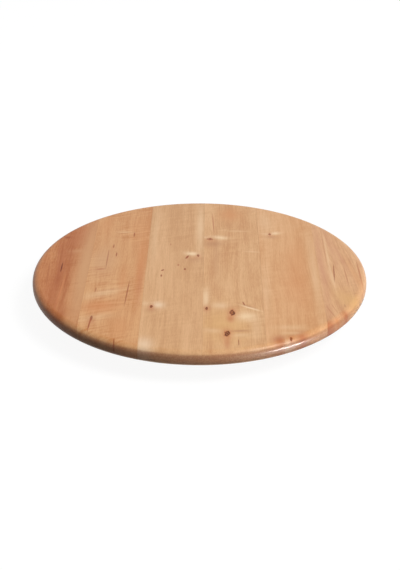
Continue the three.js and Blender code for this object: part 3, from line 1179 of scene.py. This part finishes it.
first_plank = Plank(
    1.3, colour(205, 141, 91), colour(177, 103, 55), rings=0.6,
    spots=(
        Spot(-134, 0, 12, 170, SAND, 0.95),
        Spot(-158, 10, 9, 110, RED_BROWN, 0.45),
        Spot(-163, -20, 4, 70, RUST, 0.5),
        Spot(-150, 100, 10, 50, RUST, 0.45),
        Spot(-172, -60, 5, 40, RUST, 0.4),
        Spot(-147, 44, 10, 5, SAND, 0.5, turn=12),
        Spot(-152, -80, 2, 45, RED_BROWN, 0.5, turn=-4),
        streak(-157, -70, 1.5, 50, RUST, 0.6, turn=-3),
        streak(-162, 0, 0.9, 13, DARK_STREAK, 0.85),
        Spot(-163, -31, 3.5, 13, RED_BROWN, 0.7),
        streak(-165.5, 20, 1.5, 58, RED_BROWN, 0.55, turn=2),
        streak(-169.5, 40, 1.2, 40, RUST, 0.5, turn=2),
        streak(-154, 0, 1.1, 75, RED_BROWN, 0.45, turn=1),
        streak(-176, -15, 1.3, 32, RED_BROWN, 0.45, turn=3),
        Spot(-156.3, -56, 1.2, 42, ORANGE, 0.6, turn=-2),
        Spot(-164, 82, 4, 3, STREAK, 0.7),
        Spot(-149, -112, 6, 14, RED_BROWN, 0.6),
    ),
)
second_plank = Plank(
    4.7, colour(217, 166, 117), colour(198, 136, 86), curl=1.0,
    spots=(
        Spot(-114, 18, 15, 42, TAN, 0.75),
        Spot(-69, 0, 5, 88, ORANGE, 0.6),
        Spot(-68, -45, 3, 40, RUST, 0.35),
        Spot(-88, -40, 5, 45, SOFT_ORANGE, 0.55),
        Spot(-109, -95, 20, 15, ORANGE, 0.7, turn=14),
        Spot(-108, -64, 24, 7, PALE, 0.45, turn=28),
        Spot(-112, -120, 22, 6, PALE, 0.3, turn=14),
        Spot(-84, -142, 10, 26, SOFT_ORANGE, 0.5),
        Spot(-118, 120, 9, 30, SOFT_ORANGE, 0.4),
        Spot(-78, 100, 12, 50, SOFT_ORANGE, 0.4),
        Spot(-93, 98, 10, 2.2, PALE, 0.45),
        streak(-110, 25, 0.8, 27, STREAK, 0.45),
        streak(-105, 58, 0.8, 6, STREAK, 0.7),
        streak(-100, 35, 0.9, 6, STREAK, 0.7),
        Spot(-116, -4, 5, 1.8, RUST, 0.8, turn=14),
        streak(-81, -62, 0.8, 30, STREAK, 0.65, turn=-2),
        streak(-116, -122, 1.5, 6, DARK_STREAK, 0.75),
        streak(-117, -134, 0.8, 15, STREAK, 0.85, turn=-3),
        Spot(-116, -128, 4, 9, RUST, 0.5),
        streak(-117, -56, 0.8, 6, STREAK, 0.5),
        streak(-82, 91, 0.9, 7, STREAK, 0.7),
        streak(-88, -172, 1.0, 8, STREAK, 0.6),
    ),
)
third_plank = Plank(
    8.2, colour(220, 174, 129), colour(201, 151, 105), rings=0.2,
    knots=(Knot(-52, -95, 1.6), Knot(-2, 33, 1.5, 0.8)),
    spots=(
        Spot(-56, 90, 4, 80, PALE, 0.3),
        Spot(0, 112, 4.5, 62, PALE, 0.7),
        Spot(-56, -178, 9, 14, CREAM, 0.65),
        # Painted highlights and painted shade round both knots: pale wings beside each, darker wood
        # below.
        Spot(-45, -91, 7, 7, CREAM, 0.75, turn=-14),
        Spot(-59, -88, 5, 5, PALE, 0.5, turn=14),
        Spot(-52, -103, 6, 6, SHADOW, 0.4),
        Spot(-9, 38, 8, 5, PAINTED_HIGHLIGHT, 0.75, turn=-16),
        Spot(-6, 22, 10, 8, SHADOW, 0.45),
        streak(-43, -6, 1.5, 2.6, STREAK, 0.85, turn=-30),
        streak(-44, -20, 1.2, 3, STREAK, 0.8),
        streak(-15, 29, 1.4, 5, STREAK, 0.85, turn=-20),
        streak(-17, -3, 1.4, 3, STREAK, 0.8),
        streak(-25, 8, 1.2, 2.6, RUST, 0.7),
        streak(-36, 64, 1.0, 3, RUST, 0.5),
    ),
)
fourth_plank = Plank(
    12.9, colour(222, 177, 131), colour(200, 146, 99), rings=0.4,
    knots=(
        Knot(37, -108, 3.0), Knot(31, -154, 2.9), Knot(9, -99, 1.6), Knot(12.5, 80, 1.5, 0.6),
    ),
    spots=(
        Spot(37, 153, 14, 20, SOFT_ORANGE, 0.7),
        streak(16, 125, 0.9, 30, RUST, 0.6, turn=2),
        Spot(20, 30, 5, 60, SHADOW, 0.35),
        # Painted highlight and painted shade at the flat knot: pale wings beside it, darker wood
        # below it.
        Spot(24, 84, 10, 5, PAINTED_HIGHLIGHT, 0.6, turn=-12),
        Spot(5, 84, 6, 3, PALE, 0.6, turn=8),
        streak(12, 79, 4.5, 3.2, STREAK, 0.6, turn=-14),
        Spot(15, 66, 12, 8, SHADOW, 0.7),
        Spot(45, 103, 15, 1.6, PALE, 0.5, turn=-4),
        Spot(64, 44, 10, 1.8, PALE, 0.5, turn=-8),
        Spot(30, -134, 26, 36, HONEY, 0.7),
        # Round the front knots, the pale spots and the bright line are painted highlights, and the
        # darker bands beside them painted shade.
        Spot(8, -76, 4, 24, PAINTED_HIGHLIGHT, 0.55),
        Spot(52, -116, 12, 10, PAINTED_HIGHLIGHT, 0.6),
        Spot(24, -92, 10, 7, PALE, 0.7, turn=-8),
        Spot(35, -122, 4, 7, KNOT_HALO, 0.6),
        Spot(16, -148, 12, 5, PALE, 0.45, turn=-10),
        Spot(45, -148, 10, 2.4, SHADOW, 0.8, turn=4),
        Spot(45, -157, 11, 4, PALE, 0.45, turn=4),
        Spot(31, -174, 3.6, 12, KNOT_HALO, 0.5),
        Spot(57, -97, 1.5, 11, PAINTED_HIGHLIGHT, 0.9, turn=58),
        Spot(55, -93, 2, 9, SHADOW, 0.6, turn=58),
        streak(50, -87, 0.9, 5, STREAK, 0.75, turn=14),
        Spot(62, -140, 6, 30, PALE, 0.35),
        streak(43, -172, 0.7, 7, STREAK, 0.6),
    ),
)
fifth_plank = Plank(
    16.1, colour(221, 172, 126), colour(205, 148, 98), rings=0.4,
    knots=(Knot(86, 94, 1.2, 0.85), Knot(98.5, -163, 1.3)),
    spots=(
        Spot(111, -42, 17, 55, ORANGE, 0.35),
        Spot(115, 30, 12, 45, SOFT_ORANGE, 0.4),
        Spot(81, 130, 10, 40, PALE, 0.4),
        Spot(76, -60, 5, 60, PALE, 0.35),
        Spot(134, -15, 5.5, 110, PALE, 0.45),
        # Painted highlight and painted shade at the knot at (86, 94): pale wings beside it, darker
        # wood below.
        Spot(93, 97, 7, 4, PAINTED_HIGHLIGHT, 0.6, turn=22),
        Spot(81, 95, 6, 3, PALE, 0.5, turn=-6),
        Spot(88, 86, 8, 5, SHADOW, 0.45),
        Spot(86, -167, 7, 9, RUST, 0.8),
        Spot(111, -158, 7, 9, RUST, 0.8),
        Spot(99, -140, 17, 5, PALE, 0.4),
        Spot(99, -152, 12, 3, PALE, 0.4),
        Spot(98, -178, 8, 15, CREAM, 0.6, crisp=True),
    ),
)
sixth_plank = Plank(
    21.4, colour(223, 177, 132), colour(197, 141, 99), rings=0.5, lean=-0.1,
    spots=(
        Spot(144, 10, 5, 110, PINK, 0.65),
        Spot(158, 60, 3, 60, PINK, 0.45, turn=5),
        Spot(168, 30, 2.5, 50, PINK, 0.5, turn=9),
        Spot(152.7, 40, 1.1, 58, PALE, 0.45),
        Spot(154.5, -35, 1.1, 34, PALE, 0.45, turn=2),
        streak(150.3, 55, 0.9, 50, RUST, 0.35),
        streak(156.8, -10, 0.9, 23, STREAK, 0.65, turn=-3),
        streak(170.2, -20, 1.0, 26, RUST, 0.5, turn=2),
        streak(186.4, -15, 1.1, 34, RUST, 0.6, turn=1),
        streak(145.5, -106, 0.9, 14, RUST, 0.4, turn=17),
        streak(150, -98, 0.8, 12, RUST, 0.3, turn=14),
        streak(161.8, -91, 0.8, 4, STREAK, 0.5),
        Spot(172, -80, 14, 30, HONEY, 0.7, turn=30),
        Spot(181, -20, 4, 40, SOFT_ORANGE, 0.5, turn=8),
        Spot(139, -135, 6, 7, RUST, 0.85),
        Spot(144, -129, 5, 5, RUST, 0.6),
        Spot(162, -108, 4, 6, RUST, 0.8),
        Spot(152, -122, 4, 4, ORANGE, 0.7),
    ),
)
BOARD_WOODS = (first_plank, second_plank, third_plank, fourth_plank, fifth_plank, sixth_plank)
for piece, plank in zip(board_planks, BOARD_WOODS):
    wear(piece, lacquered_wood(piece.name, plank))

BASE_WOODS = (
    Plank(31.3, colour(216, 172, 128), colour(196, 146, 102)),
    Plank(34.8, colour(220, 178, 134), colour(202, 154, 110)),
    Plank(38.6, colour(214, 166, 120), colour(194, 142, 98)),
    Plank(42.2, colour(222, 182, 140), colour(204, 160, 118)),
)
for piece, plank in zip(base_planks, BASE_WOODS):
    wear(piece, lacquered_wood(piece.name, plank))
print("planks finished:", len(BOARD_WOODS) + len(BASE_WOODS))

# %% [markdown]
# ## Metal, nylon and rubber
# The pressed plates, screws and washers are zinc-plated, which is a cloudy, cool metal with marks
# from the rolling mill. The balls are ground and polished, and wear a thin film of grease. The cage
# is natural nylon and the feet are black rubber. Every one of these is nearly one colour, so small
# changes of roughness and a fine bump do the work.

# %% Mix the metal, nylon and rubber
def zinc_plating():
    """Bright zinc on pressed steel: cool, slightly cloudy, with fine rolling marks."""
    material, shader, w = finish_named("zinc_plating", metallic=1.0)
    place = w.node("ShaderNodeTexCoord", output=3)
    cloud = place.noise((160, 160, 160), detail=3, seed=2)
    spangle = place.noise((900, 900, 900), seed=3)
    rolling = place.noise((4000, 60, 4000), seed=4)
    patches = (cloud * 0.6 + spangle * 0.4).clamped()
    metal = patches.blend(colour(176, 180, 186), colour(214, 214, 208))
    height = rolling * 0.6 + spangle * 0.4
    feed(shader, base_color=metal, roughness=0.26 + cloud * 0.18, normal=height.bump(0.1))
    return material


def polished_steel():
    """Ground and polished bearing steel under a thin film of grease."""
    material, shader, w = finish_named("ball_steel", metallic=1.0)
    place = w.node("ShaderNodeTexCoord", output=3)
    film = place.noise((500, 500, 500), seed=7)
    metal = film.between(0.4, 0.7).blend(colour(222, 224, 228), colour(206, 198, 180))
    feed(shader, base_color=metal, roughness=0.08 + film.between(0.45, 0.7) * 0.14)
    return material


def moulded_nylon():
    """Natural nylon, which is faintly yellow and slightly mottled."""
    material, shader, w = finish_named("moulded_nylon", specular_ior_level=0.45)
    place = w.node("ShaderNodeTexCoord", output=3)
    mottle = place.noise((300, 300, 300), detail=3, seed=9)
    skin = place.noise((5000, 5000, 5000), detail=1, seed=10)
    plastic = mottle.blend(colour(240, 236, 224), colour(222, 216, 198))
    feed(shader, base_color=plastic, roughness=0.4 + mottle * 0.15, normal=skin.bump(0.15))
    return material


def moulded_rubber():
    """Black rubber with a fine matt skin and a little dust."""
    material, shader, w = finish_named("moulded_rubber", specular_ior_level=0.35)
    place = w.node("ShaderNodeTexCoord", output=3)
    dust = place.noise((400, 400, 400), detail=4, roughness=0.65, seed=12)
    grain = place.noise((6000, 6000, 6000), seed=13)
    surface = dust.between(0.5, 0.8).blend(colour(34, 33, 32), colour(62, 60, 57))
    feed(shader, base_color=surface, roughness=0.7 + dust * 0.2, normal=grain.bump(0.3))
    return material


zinc = zinc_plating()
for piece in (upper_plate, lower_plate, *upper_screws, *lower_screws, *foot_fixings, *washers):
    wear(piece, zinc)
ball_finish = polished_steel()
for piece in balls:
    wear(piece, ball_finish)
wear(cage, moulded_nylon())
rubber = moulded_rubber()
for piece in feet:
    wear(piece, rubber)
print("materials, with the plain solids' own:", len(bpy.data.materials))

# %% [markdown]
# ## Studio
# The object stands on a plain white sweep: a flat floor that turns up into a distant wall. The
# sweep shows to the eye and in the gloss of the lacquer and metal, but it throws no light up at the
# object and takes none away, so the underside of the rim stays dark. A dim surround fills the
# shadows from above.

# %% Floor and surround
SWEEP_RADIUS = 12
SWEEP_HEIGHT = 8
WHITE = (1, 1, 1, 1)
DIM_GREY = (0.1, 0.1, 0.1, 1)
WARM_BLACK = (0.04, 0.037, 0.035, 1)

floor = start(
    "floor",
    bpy.ops.mesh.primitive_circle_add,
    vertices=96,
    radius=SWEEP_RADIUS,
    fill_type="NGON",
    location=(0, 0, 0),
)
edit(floor)
choose(floor, "EDGE", lambda edge: True)
bpy.ops.mesh.extrude_edges_move(TRANSFORM_OT_translate={"value": (0, 0, SWEEP_HEIGHT)})
done()
floor.visible_diffuse = False
floor.visible_shadow = False
material, shader, w = finish_named("floor_white", roughness=1.0, specular_ior_level=0.0)
shader.inputs["Base Color"].default_value = DIM_GREY
shader.inputs["Emission Color"].default_value = WHITE
shader.inputs["Emission Strength"].default_value = 0.92
wear(floor, material)
floor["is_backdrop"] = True

world = bpy.data.worlds.new("surround")
bpy.context.scene.world = world
world.use_nodes = True
surround = Wire(world.node_tree)
direction = surround.node("ShaderNodeTexCoord", output=0)
height = surround.node("ShaderNodeSeparateXYZ", {}, {0: direction}, output=2)
sky = height.between(0.15, 0.85).blend(WARM_BLACK, WHITE)
background = world.node_tree.nodes["Background"]
world.node_tree.links.new(sky.socket, background.inputs["Color"])
background.inputs["Strength"].default_value = 0.45
print("sweep and surround ready")

# %% [markdown]
# One large soft light hangs high in front to the right. Two small ones stand low to the right: a
# fill that warms the rim, and a thin strip that only gloss shows, which draws a bright streak along
# the lacquer. The strip is sampled as a light only, never met by a reflected ray, and that keeps
# its streak free of bright specks.

# %% Lights
def soft_light(name, place, aim, width, depth, power):
    """A rectangular light at a place, pointed at another."""
    bpy.ops.object.select_all(action="DESELECT")
    bpy.ops.object.light_add(type="AREA", location=place)
    light = bpy.context.object
    light.name = name
    light.data.shape = "RECTANGLE"
    light.data.size = width
    light.data.size_y = depth
    light.data.energy = power
    towards = Vector(aim) - Vector(place)
    light.rotation_euler = towards.to_track_quat("-Z", "Y").to_euler()
    return light


RIM_SPOT = (0.1, -0.16, 0.03)
soft_light("key_light", (4.1, -2.45, 5.7), (0, 0, 0.03), 3.2, 3.2, 495)
soft_light("low_fill", (1.02, -0.73, -0.5), RIM_SPOT, 0.5, 0.4, 8)
strip = soft_light("rim_strip", (1.02, -0.73, -0.28), RIM_SPOT, 0.5, 0.05, 50)
strip.visible_diffuse = False
strip.data.cycles.use_multiple_importance_sampling = False
bpy.context.scene.view_settings.view_transform = "Standard"
print("lights set")

# %% Measure the sizes and finish
low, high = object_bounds()
